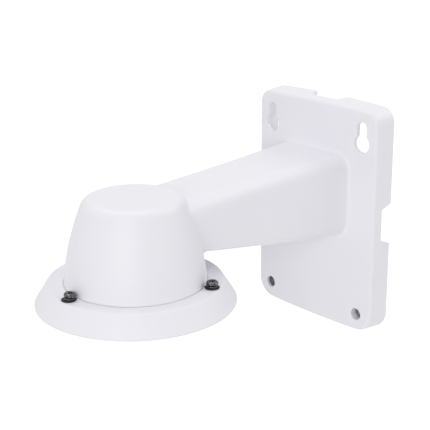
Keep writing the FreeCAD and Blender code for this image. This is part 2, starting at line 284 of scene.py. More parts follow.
# %% [markdown]
# ## The arm
#
# The arm's width, top and bottom all change on the way from the plate to the cup: it narrows,
# has a slight waist, and its lower corners go from well rounded to nearly sharp. So the section
# is written as numbers that depend on the share of the way, and the surface's direction follows
# from how fast they change.

# %% Arm sizes and surface
reach = 210.0
arm_end_y = -reach + 45.0
arm_fillet_root, arm_fillet_cup = 3.3, 2.5
arm_top_corner, arm_least_corner = 12.0, 1.5
# Each pair is the size at the plate and at the cup, and each bow is how far mid-length departs.
arm_width, arm_top, arm_bottom, arm_low_corner = (77.0, 62.0), (54.7, 48.8), (-16.4, 7.4), (17.0, 1.5)
side_bow, top_bow, bottom_bow, corner_bow = 2.2, 0.4, 0.6, 3.0


def mix(start, end, share):
    """The value a share of the way from start to end."""
    return start + (end - start) * share


def arm_numbers(share, inset=0.0):
    """Depth, half width, top, bottom and lower corner radius at a share of the arm's length."""
    bow = 4 * share * (1 - share)
    y = mix(plate_front, arm_end_y, share)
    half_x = mix(*arm_width, share) / 2 - side_bow * bow - inset
    top = mix(*arm_top, share) + top_bow * bow - inset
    bottom = mix(*arm_bottom, share) - bottom_bow * bow + inset
    low = np.maximum(mix(*arm_low_corner, share) - corner_bow * bow, arm_least_corner)
    return y, half_x, top, bottom, low


def arm_point(share):
    """The rounded rectangle at a share of the arm's length, laid at its depth."""
    y, half_x, top, bottom, low = arm_numbers(share)
    x, z = rounded_loop(half_x, top, bottom, arm_top_corner, low)
    return np.stack(np.broadcast_arrays(x, y, z), axis=-1)


def arm_normal(share, step=1e-4):
    """Outward direction: the loop's own facing direction, tilted so that it stays square to the
    way the surface runs along the arm."""
    change = (arm_point(share + step) - arm_point(share - step)) / (2 * step)
    across = np.stack(np.broadcast_arrays(np.cos(facing), 0.0, np.sin(facing)), axis=-1)
    tilt = -(across * change).sum(-1) / change[..., 1]
    return unit(across + tilt[..., None] * np.array([0.0, 1.0, 0.0]))


print("arm", round(plate_front - arm_end_y, 1), "mm long")

# %% [markdown]
# ## The cup's outline
#
# The bell is turned: a gently leaning arc for the side, a round shoulder and a flat crown. The
# fillet between arm and cup needs to know how far a point is from the bell, which for arcs is
# simply the distance to their centre less their radius.

# %% Cup outline and distance
ledge_z, cup_base, cup_height = -11.0, 53.1, 63.6
cup_shoulder, cup_wall, cup_rim_wall = 8.0, 3.6, 3.4
lean_base, lean_top = math.radians(5.7), math.radians(22.4)
crown_z = ledge_z + cup_height
shoulder_start = crown_z - cup_shoulder * (1 - math.sin(lean_top))
side_radius = (shoulder_start - ledge_z) / (math.sin(lean_top) - math.sin(lean_base))
side_centre = np.array([cup_base - side_radius * math.cos(lean_base),
                        ledge_z - side_radius * math.sin(lean_base)])
shoulder_centre = np.array([side_centre[0] + (side_radius - cup_shoulder) * math.cos(lean_top),
                            crown_z - cup_shoulder])


def cup_distance(points):
    """How far points are outside the bell, and the direction straight away from it."""
    away = points[..., :2] - np.array([0.0, -reach])
    radius = np.linalg.norm(away, axis=-1)
    flat = np.stack([radius, points[..., 2]], axis=-1)
    from_shoulder, from_side = flat - shoulder_centre, flat - side_centre
    on_shoulder = np.arctan2(from_shoulder[..., 1], from_shoulder[..., 0]) > lean_top
    spoke = np.where(on_shoulder[..., None], from_shoulder, from_side)
    length = np.linalg.norm(spoke, axis=-1)
    distance = length - np.where(on_shoulder, cup_shoulder, side_radius)
    crown = (flat[..., 0] < shoulder_centre[0]) & (flat[..., 1] > shoulder_centre[1])
    distance = np.where(crown, flat[..., 1] - crown_z, distance)
    direction = np.where(crown[..., None], np.array([0.0, 1.0]), spoke / length[..., None])
    outward = unit(away) * direction[..., :1]
    return distance, np.concatenate([outward, direction[..., 1:]], axis=-1)


def plate_distance(points):
    """How far points are in front of the plate's bulged face, and the direction away from it."""
    away = np.stack([points[..., 0], points[..., 1] - bulge_axis_y], axis=-1)
    radius = np.linalg.norm(away, axis=-1)
    direction = away / radius[..., None]
    flat = np.zeros_like(radius)[..., None]
    return radius - bulge_radius, np.concatenate([direction, flat], axis=-1)


print("bell side radius", round(side_radius, 1), "mm")

# %% [markdown]
# ## Rolling a ball into the corner
#
# A fillet is the path of a ball that rolls along the corner and touches both surfaces. For each
# of the arm's lengthwise lines, halving the interval finds where the ball's centre has just its
# radius to the plate or to the cup. That runs for the whole loop at once.

# %% Fillets at both ends of the arm
halvings, cup_dip = 45, 0.03


def rolled_fillet(distance, radius, clearance, inside, outside, steps):
    """The share of the arm where the fillet starts, and rows of points from there to the wall.
    clearance is the ball's distance to the wall, a hair under its radius where the fillet is to
    dip through the wall's surface. At the share inside the ball is too near, at outside it isn't."""
    inside, outside = np.full(facing.shape, inside), np.full(facing.shape, outside)
    for _ in range(halvings):
        middle = (inside + outside) / 2
        near = distance(arm_point(middle) + radius * arm_normal(middle))[0] < clearance
        inside, outside = np.where(near, middle, inside), np.where(near, outside, middle)
    start = outside
    to_arm = -arm_normal(start)
    centre = arm_point(start) - radius * to_arm
    to_wall = -distance(centre)[1]
    sweep = np.arccos(np.clip((to_arm * to_wall).sum(-1, keepdims=True), -1, 1))
    share = np.linspace(0, 1, steps)[:, None, None]
    return start, centre + radius * swing(to_arm, to_wall, sweep, share)


root_share, root_rows = rolled_fillet(plate_distance, arm_fillet_root, arm_fillet_root,
                                      inside=-0.05, outside=0.4, steps=10)
cup_share, cup_rows = rolled_fillet(cup_distance, arm_fillet_cup, arm_fillet_cup - cup_dip,
                                    inside=1.3, outside=0.7, steps=9)
print("fillets start at shares", root_share.min().round(3), root_share.max().round(3), "and",
      cup_share.min().round(3), cup_share.max().round(3))

# %% [markdown]
# ## The casting's outside
#
# One grid runs from inside the cup's wall, out over the fillet, along the arm, down the second
# fillet, over the plate's front, round its edge and back to the wall. Extra rows lie close to each
# fillet, so that the smooth shading of the round part doesn't bleed into the flat part.

# %% Arm and plate as one skin
close_rows = np.array([0.0, 0.012, 0.05, 0.12, 0.2, 0.3, 0.4, 0.5, 0.6, 0.7, 0.8, 0.88, 0.95, 0.988, 1.0])
side_rows = np.array([0.05, 0.5, 0.97, 1.0])
first_row_depth = 3.0


def between(first, last, shares=close_rows):
    """Rows of points at some shares of the way from the first row to the last."""
    return first + (last - first) * shares[:, None, None]


def outside_rows():
    """All rows in turn, from first_row_depth under the cup's surface to the rim at the wall."""
    arm_shares = mix(cup_share, root_share, close_rows[:, None])
    sharp, back, inward = plate_sharp_edge(0.0, 0.0)
    edge = corner_arc(sharp, inward, back, np.full(len(sharp), plate_edge), 10)
    front = between(root_rows[-1], edge[0])[1:-1]
    front[..., 1] = front_y(front[..., 0])
    sides = between(edge[-1], plate_loop(0.0, 0.0), side_rows)
    buried = cup_rows[-1] - first_row_depth * cup_distance(cup_rows[-1])[1]
    return np.concatenate([buried[None], cup_rows[::-1], arm_point(arm_shares)[1:-1], root_rows,
                           front, edge, sides])


casting = tube("bracket_casting_dressed", outside_rows())
print("outside skin", len(casting.data.polygons), "faces")

# %% The bell, joined on
def arc_points(centre, radius, start, end, steps):
    """Points on a flat arc: its centre plus the radius times cosine and sine of the angle."""
    angle = np.linspace(start, end, steps)
    return np.stack([centre[0] + radius * np.cos(angle), centre[1] + radius * np.sin(angle)], axis=-1)


def bell_outline(inset, foot_z):
    """Half of the bell's section, from the axis at its crown to the axis at its foot. The crown's
    last point is 0.4 mm before the shoulder's first."""
    shoulder = arc_points(shoulder_centre, cup_shoulder - inset, math.pi / 2, lean_top, 22)
    side = arc_points(side_centre, side_radius - inset, lean_top, lean_base, 30)[1:]
    flat = np.linspace(0, shoulder[0, 0] - 0.4, 6)
    top = np.stack([flat, np.full(len(flat), crown_z - inset)], axis=-1)
    foot = np.array([[side[-1, 0], foot_z], [0.0, foot_z]])
    return np.concatenate([top, shoulder, side, foot])


cup_axis = (0.0, -reach, 0.0)
bell = turned("bell", bell_outline(0.0, ledge_z), cup_axis)
work(casting, "UNION", [bell])
print("with the bell", len(casting.data.polygons), "faces")

# %% [markdown]
# ## The hollow
#
# A steel core leaves the space for cable and connectors. It follows the outside at a wall's
# distance: the tray of the plate, the passage through the arm and the inside of the bell. The
# core's own corners are rounded too.

# %% The core
arm_wall, tray_corner, lip_radius, lip_set_back = 4.0, 1.6, 1.2, 0.4
passage_shares, onward_share = np.linspace(1.17, 0.06, 22), 0.2
bell_bore_depth, core_beyond_rim, core_below_ledge = 6.0, 4.0, 2.0


def passage_loop(share):
    """The arm's section, drawn in by the arm's wall."""
    y, half_x, top, bottom, low = arm_numbers(share, arm_wall)
    low = np.maximum(low - arm_wall, arm_least_corner)
    x, z = rounded_loop(half_x, top, bottom, arm_top_corner - arm_wall, low)
    return np.stack(np.broadcast_arrays(x, y, z), axis=-1)


def core_rows():
    """Rows along the passage, over its rounded lip, across the tray's floor and out of the rim."""
    sharp, back, inward = plate_sharp_edge(plate_wall, plate_web)
    corner = corner_arc(sharp, inward, back, np.full(len(sharp), tray_corner), 7)
    mouth_share = (plate_web + lip_set_back) / (plate_front - arm_end_y)
    mouth = passage_loop(np.full(facing.shape, -mouth_share))
    mouth[:, 1] = front_y(mouth[:, 0], plate_web)
    onward = passage_loop(np.full(facing.shape, onward_share)) - mouth
    lip = corner_arc(mouth, onward, corner[0] - mouth, np.full(len(mouth), lip_radius), 6)
    floor = between(lip[-1], corner[0])[1:-1]
    floor[..., 1] = front_y(floor[..., 0], plate_web)
    passage = passage_loop(np.tile(passage_shares[:, None], len(facing)))
    open_end = plate_loop(0.0, plate_wall)
    beyond = open_end + np.array([0.0, core_beyond_rim, 0.0])
    return np.concatenate([passage, lip, floor, corner, open_end[None], beyond[None]])


def bell_core():
    """The inside of the bell, with a wider bore at its mouth for the ring's spigot."""
    bore, bore_top, foot = cup_base - cup_rim_wall, ledge_z + bell_bore_depth, ledge_z - core_below_ledge
    inner = bell_outline(cup_wall, foot)
    inner = inner[inner[:, 1] > bore_top]
    return np.concatenate([inner, np.array([[bore, bore_top], [bore, foot], [0.0, foot]])])


core = tube("core", core_rows())
bell_hollow = turned("bell_hollow", bell_core(), cup_axis)
work(casting, "DIFFERENCE", [core, bell_hollow])
print("hollow casting", len(casting.data.polygons), "faces")

# %% [markdown]
# ## Ribs and bosses
#
# Behind the front there are ribs in line with the arm's walls, which carry its load to the
# screws, and a tube behind each lower screw hole, so that tightening the screw can't dent the
# plate. In the bell, three bosses take the screws of the ring. Each rib is one small outline, with a
# flared foot and a rounded crest, carried from wall to wall.

# %% Ribs behind the plate's front
rib_sides, rib_levels, rib_bite = (-36.5, 36.5), (52.7, -14.4), 0.8


def prism(name, outline, start, end):
    """A flat outline, given as points in space, carried straight from start to end."""
    return tube(name, outline + np.array([start, end], float)[:, None, :])


def rib(name, middle, lengthwise):
    """The rib's section stands on the inside of the front: 3 mm thick, 5.5 mm high, flared at its
    foot. Its ends run into the side walls by rib_bite. lengthwise is 0 for a rib across the plate
    and 2 for an upright one."""
    inside = plate_front + plate_web
    section = rounded([(-4.0, -1.0), (-4.0, 0.25), (-1.6, 0.25), (-1.4, 5.5), (1.4, 5.5), (1.6, 0.25),
                       (4.0, 0.25), (4.0, -1.0)], [0.1, 0.1, 1.5, 0.8, 0.8, 1.5, 0.1, 0.1], 6)
    run = np.linspace(-1, 1, 9) * (plate_half[lengthwise // 2] - plate_wall + rib_bite)
    rows = np.zeros((len(run), len(section), 3))
    rows[..., lengthwise] = run[:, None]
    rows[..., 2 - lengthwise] = middle + section[:, 0]
    rows[..., 1] = inside + section[:, 1]
    rows[..., 1] += front_y(rows[..., 0], plate_web) - inside
    return tube(name, rows)


ribs = [rib("rib", x, 2) for x in rib_sides] + [rib("rib", z, 0) for z in rib_levels]
print("ribs", len(ribs))

# %% Bosses
fixing_x, fixing_z, fixing_hole = 50.0, 79.5, 9.8
ring_screw_reach, boss_half, boss_flare, boss_outer, boss_top = 44.9, 4.6, 1.2, 51.0, 3.0


def lying(outline, x, z):
    """A turned piece laid down: its axis runs along y through (x, z)."""
    piece = turned("boss", outline, (0.0, 0.0, 0.0), 96)
    turn = Matrix(((1, 0, 0, x * MM), (0, 0, 1, 0), (0, -1, 0, z * MM), (0, 0, 0, 1)))
    piece.data.transform(turn)
    return piece


def screw_boss():
    """Half section of a tapered tube with a flared foot, as (radius, y)."""
    foot = plate_front + plate_web
    corners = [(3.0, -0.4), (8.1, 0.0), (8.4, foot + 0.9), (12.5, foot + 0.7), (12.5, foot - 0.8),
               (3.0, foot - 0.8)]
    return rounded(corners, [0.1, 0.7, 1.8, 0.1, 0.1, 0.1], 6)


def spin(points, angle):
    """Flat points turned about the origin: x and y mixed by the angle's cosine and sine."""
    c, s = math.cos(angle), math.sin(angle)
    return points @ np.array([[c, s], [-s, c]])


def ring_place(radius, degrees):
    """A place round the cup's axis: the radius times the cosine and the sine of the angle."""
    return radius * math.cos(math.radians(degrees)), radius * math.sin(math.radians(degrees)) - reach, 0.0


def ring_boss(degrees):
    """A boss in the bell, blended into the wall by a web as wide as the boss."""
    inner, wide = ring_screw_reach - boss_half, boss_half + boss_flare
    outline = rounded([(inner, -boss_half), (inner, boss_half), (boss_outer, wide), (boss_outer, -wide)],
                      [4.55, 4.55, 0.2, 0.2], 14)
    flat = spin(outline, math.radians(degrees)) + np.array([0.0, -reach])
    rows = np.stack([np.c_[flat, np.full(len(flat), z)] for z in (ledge_z, boss_top)])
    return tube("ring_boss", rows)


ring_turns = {"rear": 90, "left": 210, "right": 330}
ring_places = {name: ring_place(ring_screw_reach, degrees) for name, degrees in ring_turns.items()}
bosses = [lying(screw_boss(), side * fixing_x, -fixing_z) for side in (-1, 1)]
bosses += [ring_boss(degrees) for degrees in ring_turns.values()]
work(casting, "UNION", ribs + bosses)
print("with ribs and bosses", len(casting.data.polygons), "faces")

# %% [markdown]
# ## Holes with soft mouths
#
# Powder builds up and rounds the mouth of every hole. So the tool that cuts a hole isn't a plain
# pin: near the plate's front it flares out along a quarter circle. The two upper holes are
# keyholes, a round entry for the screw's head and a slot above it for its shank.

# %% Screw holes and keyholes
bare_depth, lip, tool_in_front = 3.0, 0.7, 0.9
hole_depth, keyhole_depth = 30.0, 12.0


def hole_tool(name, outline, depth):
    """Carries an outline through the plate. outline(grow) gives (x, z) points, grown by a few tenths
    of a millimetre near the front, where the tool flares by a quarter circle of radius lip."""
    turn = np.radians(np.array([78.0, 62.0, 45.0, 28.0, 12.0, 0.0]))
    grow = np.r_[tool_in_front, lip * (1 - np.cos(turn)), 0.0, 0.0, 0.0]
    sink = np.r_[-tool_in_front, lip * (1 - np.sin(turn)), bare_depth, 2 * bare_depth, depth]
    rows = []
    for more, below in zip(grow, sink):
        flat = outline(more)
        rows.append(np.stack([flat[:, 0], front_y(flat[:, 0]) + below, flat[:, 1]], axis=-1))
    return tube(name, np.stack(rows))


def round_hole(x, z):
    """A circle round (x, z), as a function of how much its radius has grown."""
    angle = np.linspace(0, 2 * np.pi, 64, endpoint=False)
    around = np.stack([np.cos(angle), np.sin(angle)], axis=-1)
    return lambda grow: np.array([x, z]) + (fixing_hole / 2 + grow) * around


def keyhole(x, z, entry=7.4, slot=4.7, travel=12.8):
    """A round entry, and above it a slot with a round end: two arcs joined by the slot's sides."""
    def outline(grow):
        big, small = entry + grow, slot + grow
        open_angle = math.asin(small / big)
        low = arc_points((x, z - travel), big, math.pi / 2 + open_angle, 5 * math.pi / 2 - open_angle, 56)
        high = arc_points((x, z), small, 0, math.pi, 28)
        return np.concatenate([low, high])
    return outline


holes = [hole_tool("hole", round_hole(side * fixing_x, -fixing_z), hole_depth) for side in (-1, 1)]
holes += [hole_tool("keyhole", keyhole(side * fixing_x, fixing_z), keyhole_depth) for side in (-1, 1)]
print("hole tools", len(holes))

# %% Conduit notches and thread holes
notch_half_run, thread_hole = 7.0, 2.05


def notch(turn, distance):
    """A trapezoid gap for a conduit, cut from the wall side through one of the plate's sides."""
    outline = rounded([(-19.8, 7.0), (-13.0, -10.0), (13.0, -10.0), (19.8, 7.0)], [0.2, 2.5, 2.5, 0.2], 8)
    points = np.c_[outline, np.zeros(len(outline))]
    ends = [[0, 0, distance - notch_half_run], [0, 0, distance + notch_half_run]]
    c, s = round(math.cos(turn)), round(math.sin(turn))
    rows = (points + np.array(ends)[:, None, :]) @ np.array([[c, 0, -s], [0, 1, 0], [s, 0, c]])
    return tube("notch", rows)


notches = [notch(k * math.pi / 2, plate_half[(k + 1) % 2]) for k in range(4)]
angle = np.linspace(0, 2 * np.pi, 40, endpoint=False)
pin = thread_hole * np.stack([np.cos(angle), np.sin(angle), 0 * angle], axis=-1)
threads = [prism("pin", pin + np.array(place), (0, 0, ledge_z - 1), (0, 0, ledge_z + 9))
           for place in ring_places.values()]
work(casting, "DIFFERENCE", holes + notches + threads)
smooth(casting)
print("finished casting", len(casting.data.polygons), "faces")

# %% Which faces stay bare
def bore_faces(mesh):
    """True for the faces on the walls of the lower screw holes, from bare_depth inwards on the left
    and from twice that on the right, where the powder crept further in."""
    centre = np.zeros(3 * len(mesh.polygons))
    mesh.polygons.foreach_get("center", centre)
    centre = centre.reshape(-1, 3) / MM
    off_axis = np.hypot(np.abs(centre[:, 0]) - fixing_x, centre[:, 2] + fixing_z)
    start = plate_front + np.where(centre[:, 0] > 0, 2.0, 1.0) * bare_depth
    return (off_axis < fixing_hole / 2 + 0.05) & (centre[:, 1] > start + 0.5)


print("bare faces", int(bore_faces(casting.data).sum()))

# %% [markdown]
# ## The ring
#
# The conical ring is cast by itself, and its line against the cup is the only sharp inner corner on
# the whole object. A small groove under the cup's edge keeps that line dark. The ring is turned: a
# short upright land, a cone, a level ledge, a spigot that centres it in the cup, and an open
# underside with a web. Three bosses under the ledge take the camera's screws.

# %% Ring
flange_radius, ledge_radius, flange_foot = 75.0, 65.4, -27.4
spigot, opening, web_z = cup_base - cup_rim_wall - 0.2, 39.5, ledge_z - 4.0
groove_out, groove_in, groove_depth = cup_base + 0.4, cup_base - 1.0, 0.8


def ring_outline():
    """Radius and height, from the foot's outer edge inwards. The groove is the dark joint line."""
    groove_z, spigot_top, spigot_in = ledge_z - groove_depth, ledge_z + 3.0, spigot - 2.6
    corners = [(flange_radius, flange_foot), (flange_radius, flange_foot + 1.0), (ledge_radius, ledge_z),
               (groove_out, ledge_z), (groove_out, groove_z), (groove_in, groove_z), (groove_in, ledge_z),
               (spigot, ledge_z), (spigot, spigot_top), (spigot_in, spigot_top), (spigot_in, ledge_z),
               (opening, ledge_z), (opening, web_z), (62.0, web_z), (71.6, flange_foot)]
    radii = [0.35, 0.5, 1.2, 0.08, 0.2, 0.2, 0.08, 0.15, 0.5, 0.5, 0.6, 0.6, 0.6, 1.6, 0.35]
    return rounded(corners, radii, 8)


ring = turned("camera_flange_dressed", ring_outline(), cup_axis, 192)
print("turned ring", len(ring.data.polygons), "faces")

# %% The ring's bosses and holes
camera_screw_reach, ring_boss_radius, below_all = 59.5, 5.5, -40.0
camera_screw_hole, ring_screw_hole, cup_boss_gap = 2.75, 2.25, 6.1


def post(radius, foot, top, place, edge=0.5):
    """An upright round post with softened rims."""
    outline = rounded([(0.0, foot), (radius, foot), (radius, top), (0.0, top)], [0.0, edge, edge, 0.0], 5)
    return turned("post", outline, place, 56)


screw_places = {name: ring_place(camera_screw_reach, degrees)
                for name, degrees in (("front", -90), ("right", 30), ("left", 150))}
work(ring, "UNION", [post(ring_boss_radius, web_z - 2.0, web_z + 1.0, place)
                     for place in screw_places.values()])
cuts = [post(camera_screw_hole, below_all, 0.0, place, 0.1) for place in screw_places.values()]
cuts += [post(ring_screw_hole, below_all, -5.0, place, 0.1) for place in ring_places.values()]
cuts += [post(cup_boss_gap, ledge_z, 0.0, place, 0.1) for place in ring_places.values()]
work(ring, "DIFFERENCE", cuts)
smooth(ring)
print("ring", len(ring.data.polygons), "faces")

# %% [markdown]
# ## Screws
#
# The camera's screws are M5 pan heads with a cross recess, and the ring's are the same in M4. The
# head is turned, the recess is a tapered cross that is cut out of it, and the thread is a function
# of angle and height: the radius rises and falls once per pitch, and the phase turns once round
# the screw, which makes the helix.

# %% Screw parts
rows_per_pitch = 10


def cross_tool(top, size):
    """A cross that narrows as it goes down: each row is the same twelve-cornered outline, scaled."""
    depth = np.array([0.4, 0.0, -1.0, -1.9]) * size
    reach_out = np.array([2.75, 2.6, 1.9, 0.85]) * size
    width = np.array([0.62, 0.6, 0.5, 0.42]) * size
    rows = []
    for z, a, b in zip(depth, reach_out, width):
        quarter = np.array([(b, b), (b, a), (-b, a)])
        corners = np.concatenate([spin(quarter, k * math.pi / 2) for k in range(4)])
        flat = rounded(corners, np.tile([0.16, 0.22, 0.22], 4) * size, 4)
        rows.append(np.c_[flat, np.full(len(flat), top + z)])
    return tube("cross", np.stack(rows))


def head_outline(radius, height, foot):
    """Pan head: crowned top, round shoulder, then a side that draws in towards the washer."""
    return rounded([(0.0, foot), (0.8 * radius, foot), (radius + 0.05, foot + 0.5 * height),
                    (radius - 0.9, foot + height - 0.1), (0.0, foot + height)],
                   [0.0, 0.3, 0.35 * height, 0.35 * height, 0.0], 10)


def threaded(place, radius, pitch, low, high):
    """radius(angle, z) = root + depth * wave(z / pitch - angle / full turn), a V per pitch with a
    narrow flat crest, fading out at both ends."""
    depth = 0.55 * pitch
    angle = np.linspace(0, 2 * np.pi, 48, endpoint=False)
    z = np.linspace(low, high, int((high - low) / pitch * rows_per_pitch) + 1)[:, None]
    phase = z / pitch - angle / (2 * np.pi)
    wave = np.abs(2 * (phase - np.floor(phase)) - 1)
    fade = np.clip((z - low) / 0.9, 0.25, 1) * np.clip((high - z) / 0.5 + 0.4, 0.4, 1)
    r = np.minimum(radius - depth + depth * wave * fade, radius - 0.02)
    rows = np.stack([place[0] + r * np.cos(angle), place[1] + r * np.sin(angle), z + 0 * angle], axis=-1)
    return tube("thread", rows)


print("thread rows per pitch", rows_per_pitch)

# %% The camera's three screws
head_z, head_radius, head_height = ledge_z + 2.1, 4.75, 3.4
neck_radius, neck_end, thread_radius, thread_pitch = 2.05, head_z - 9.4, 2.5, 0.8
thread_start, thread_end = head_z - 9.0, head_z - 16.0
viewers_right, away_from_viewer = np.array([0.67, 0.74, 0.0]), (-0.74, 0.67, 0.0)


def camera_screw(name, place, degrees):
    """A turned head with its recess cut out and turned by some degrees, a thin neck through the
    ring's boss, and the thread below it."""
    head = turned(name, head_outline(head_radius, head_height, head_z), place, 72)
    cross = cross_tool(head_z + head_height, 1.0)
    turn = Matrix.Rotation(math.radians(degrees), 4, "Z")
    cross.data.transform(Matrix.Translation((place[0] * MM, place[1] * MM, 0.0)) @ turn)
    work(head, "DIFFERENCE", [cross])
    neck = post(neck_radius, neck_end, head_z + 0.5, place, 0.2)
    thread = threaded(place, thread_radius, thread_pitch, thread_end, thread_start)
    work(head, "UNION", [neck, thread])
    return smooth(head, 38)


def loosen(piece, place, slide, lift=0.0, degrees=0.0):
    """Slides a loose piece in its hole towards the viewer's right, lifts it and tips it that way,
    which is a turn about the line that leads away from the viewer."""
    aside = viewers_right * slide + np.array([0.0, 0.0, lift])
    seat = Matrix.Translation((place[0] * MM, place[1] * MM, ledge_z * MM))
    tip = Matrix.Rotation(math.radians(degrees), 4, away_from_viewer)
    piece.data.transform(Matrix.Translation(aside * MM) @ seat @ tip @ seat.inverted())


screw_turns = {"front": 20, "right": 62, "left": 12}
screws = {name: camera_screw("screw_" + name, place, screw_turns[name])
          for name, place in screw_places.items()}
loosen(screws["front"], screw_places["front"], slide=0.4, lift=0.2, degrees=6)
print("screw faces", len(screws["front"].data.polygons))

# %% The ring's three screws, heads down
small_radius, small_height, small_shank, small_length = 4.0, 3.1, 1.95, 12.0


def ring_screw(name, place, degrees):
    """The same pan head, smaller and upside down under the ring's web."""
    head = turned(name, head_outline(small_radius, small_height, 0.0), (0.0, 0.0, 0.0), 64)
    work(head, "DIFFERENCE", [cross_tool(small_height, 0.84)])
    work(head, "UNION", [post(small_shank, -small_length, 0.5, (0.0, 0.0, 0.0), 0.4)])
    flip = Matrix.Rotation(math.pi, 4, "X") @ Matrix.Rotation(math.radians(degrees), 4, "Z")
    head.data.transform(Matrix.Translation((place[0] * MM, place[1] * MM, web_z * MM)) @ flip)
    return smooth(head, 38)


under_screws = {name: ring_screw("under_screw_" + name, place, 25 * k)
                for k, (name, place) in enumerate(ring_places.items())}
print("screws under the web", len(under_screws))

# %% [markdown]
# ## Washers
#
# Under each of the camera's screw heads lies a split spring washer, and under that a black rubber
# washer that keeps water out of the hole. The spring washer is a small rectangle carried almost
# once round, with its ends sprung slightly apart. The rubber one is squeezed, so its rim bulges. In
# the photograph the front screw isn't tight: it leans a few degrees, and its washers sit a little
# off its axis.

# %% Washers
washer_bore, spring_radius, spring_thick, spring_rise = 2.65, 4.1, 0.85, 0.25
rubber_radius, rubber_thick = 5.5, 1.0


def spring_washer(name, place, foot, opening_degrees):
    """A rounded rectangle carried from one side of the slit to the other, rising by spring_rise."""
    section = rounded([(washer_bore, 0.0), (spring_radius, 0.0), (spring_radius, spring_thick),
                       (washer_bore, spring_thick)], [0.15] * 4, 4)
    slit = math.radians(13)
    angle = np.linspace(slit / 2, 2 * np.pi - slit / 2, 64)[:, None] + math.radians(opening_degrees)
    rise = np.linspace(0, spring_rise, 64)[:, None]
    rows = np.stack([place[0] + section[:, 0] * np.cos(angle), place[1] + section[:, 0] * np.sin(angle),
                     foot + section[:, 1] + rise], axis=-1)
    return smooth(tube(name, rows), 40)


def rubber_washer(name, place):
    """A flat ring with a bulging rim, turned round the screw's axis."""
    top = ledge_z + rubber_thick
    outline = rounded([(washer_bore, ledge_z), (rubber_radius, ledge_z), (rubber_radius, top),
                       (washer_bore, top)], [0.2, 0.42, 0.42, 0.2], 8)
    return smooth(turned(name, outline, place, 72), 40)


springs = {name: spring_washer("spring_washer_" + name, place, ledge_z + rubber_thick, 75.0 + 40 * k)
           for k, (name, place) in enumerate(screw_places.items())}
rubbers = {name: rubber_washer("rubber_washer_" + name, place) for name, place in screw_places.items()}
loosen(springs["front"], screw_places["front"], slide=0.2, lift=0.2, degrees=6)
loosen(rubbers["front"], screw_places["front"], slide=-0.3)
print("washers", len(springs) + len(rubbers))

# %% [markdown]
# ## Materials
#
# Each material starts from the real one. Colours are written as the hex values a painter would
# use and turned to linear light by one function. One small helper adds a shader node, sets its
# values and plugs its links. A Mix node that mixes colours takes them on its inputs 6 and 7 and
# gives the result on its output 2, so these three numbers get names.

# %% Node helper and colours
colour_a, colour_b, mixed = 6, 7, 2


def linear(hex_colour):
    """sRGB hex to linear red, green, blue: the curve that screens use, undone."""
    value = np.array([int(hex_colour[i:i + 2], 16) for i in (1, 3, 5)]) / 255
    value = np.where(value <= 0.04045, value / 12.92, ((value + 0.055) / 1.055) ** 2.4)
    return (*value.tolist(), 1.0)


def add(tree, kind, links=(), **settings):
    """Adds a node. settings name its properties or input sockets, links are (socket, other output)."""
    node = tree.nodes.new(kind)
    for key, value in settings.items():
        if hasattr(node, key):
            setattr(node, key, value)
        else:
            node.inputs[key.replace("_", " ")].default_value = value
    for socket, source in links:
        tree.links.new(source, node.inputs[socket])
    return node


def new_material(name):
    """A new material, its node tree and the shader node in it."""
    material = bpy.data.materials.new(name)
    material.use_nodes = True
    tree = material.node_tree
    return material, tree, tree.nodes["Principled BSDF"]


print("screen grey #808080 is", round(linear("#808080")[0], 3), "in linear light")

# %% [markdown]
# ### White powder coat
#
# Dry polyester powder is sprayed on the casting and baked. It flows into a tough satin skin with
# a faint orange peel: low waves one to two millimetres wide, and a finer grain on top. There is no
# pigment pattern, but the skin is a touch thinner on edges and settles unevenly, so the colour
# wanders by less than one percent. The grain is 0.1 mm on the real thing, which is under a pixel
# here, so it is drawn at 0.35 mm.

# %% Powder coat
coat, tree, shader = new_material("white_polyester_powder_coat")
where = add(tree, "ShaderNodeTexCoord").outputs["Object"]
waves = add(tree, "ShaderNodeTexNoise", [("Vector", where)], Scale=1 / (1.6 * MM), Detail=1.0)
grain = add(tree, "ShaderNodeTexNoise", [("Vector", where)], Scale=1 / (0.35 * MM), Detail=2.0)
cloud = add(tree, "ShaderNodeTexNoise", [("Vector", where)], Scale=1 / (38 * MM), Detail=3.0)
tint = add(tree, "ShaderNodeMix", [("Factor", cloud.outputs["Fac"])], data_type="RGBA")
tint.inputs[colour_a].default_value = linear("#EEEDF3")
tint.inputs[colour_b].default_value = linear("#F1F0F6")
peel = add(tree, "ShaderNodeBump", [("Height", waves.outputs["Fac"])], Strength=0.35, Distance=0.02 * MM)
both_bumps = [("Height", grain.outputs["Fac"]), ("Normal", peel.outputs["Normal"])]
skin_bump = add(tree, "ShaderNodeBump", both_bumps, Strength=0.3, Distance=0.006 * MM)
gloss = add(tree, "ShaderNodeMapRange", [("Value", grain.outputs["Fac"])], From_Min=0.3, From_Max=0.7,
            To_Min=0.42, To_Max=0.5)
tree.links.new(tint.outputs[mixed], shader.inputs["Base Color"])
tree.links.new(gloss.outputs["Result"], shader.inputs["Roughness"])
tree.links.new(skin_bump.outputs["Normal"], shader.inputs["Normal"])
print(coat.name, len(tree.nodes), "nodes")

# %% [markdown]
# ### Bare bores
#
# The lower holes are drilled after casting and plugged while the powder is sprayed, so deep in
# them the aluminium is bare. Drilled metal mirrors the dark of the hole, which makes it look
# nearly black beside the coat. Rings from the drill run round it, about a millimetre apart: a wave
# texture makes 20 / (2 pi) rings per unit of its scale.

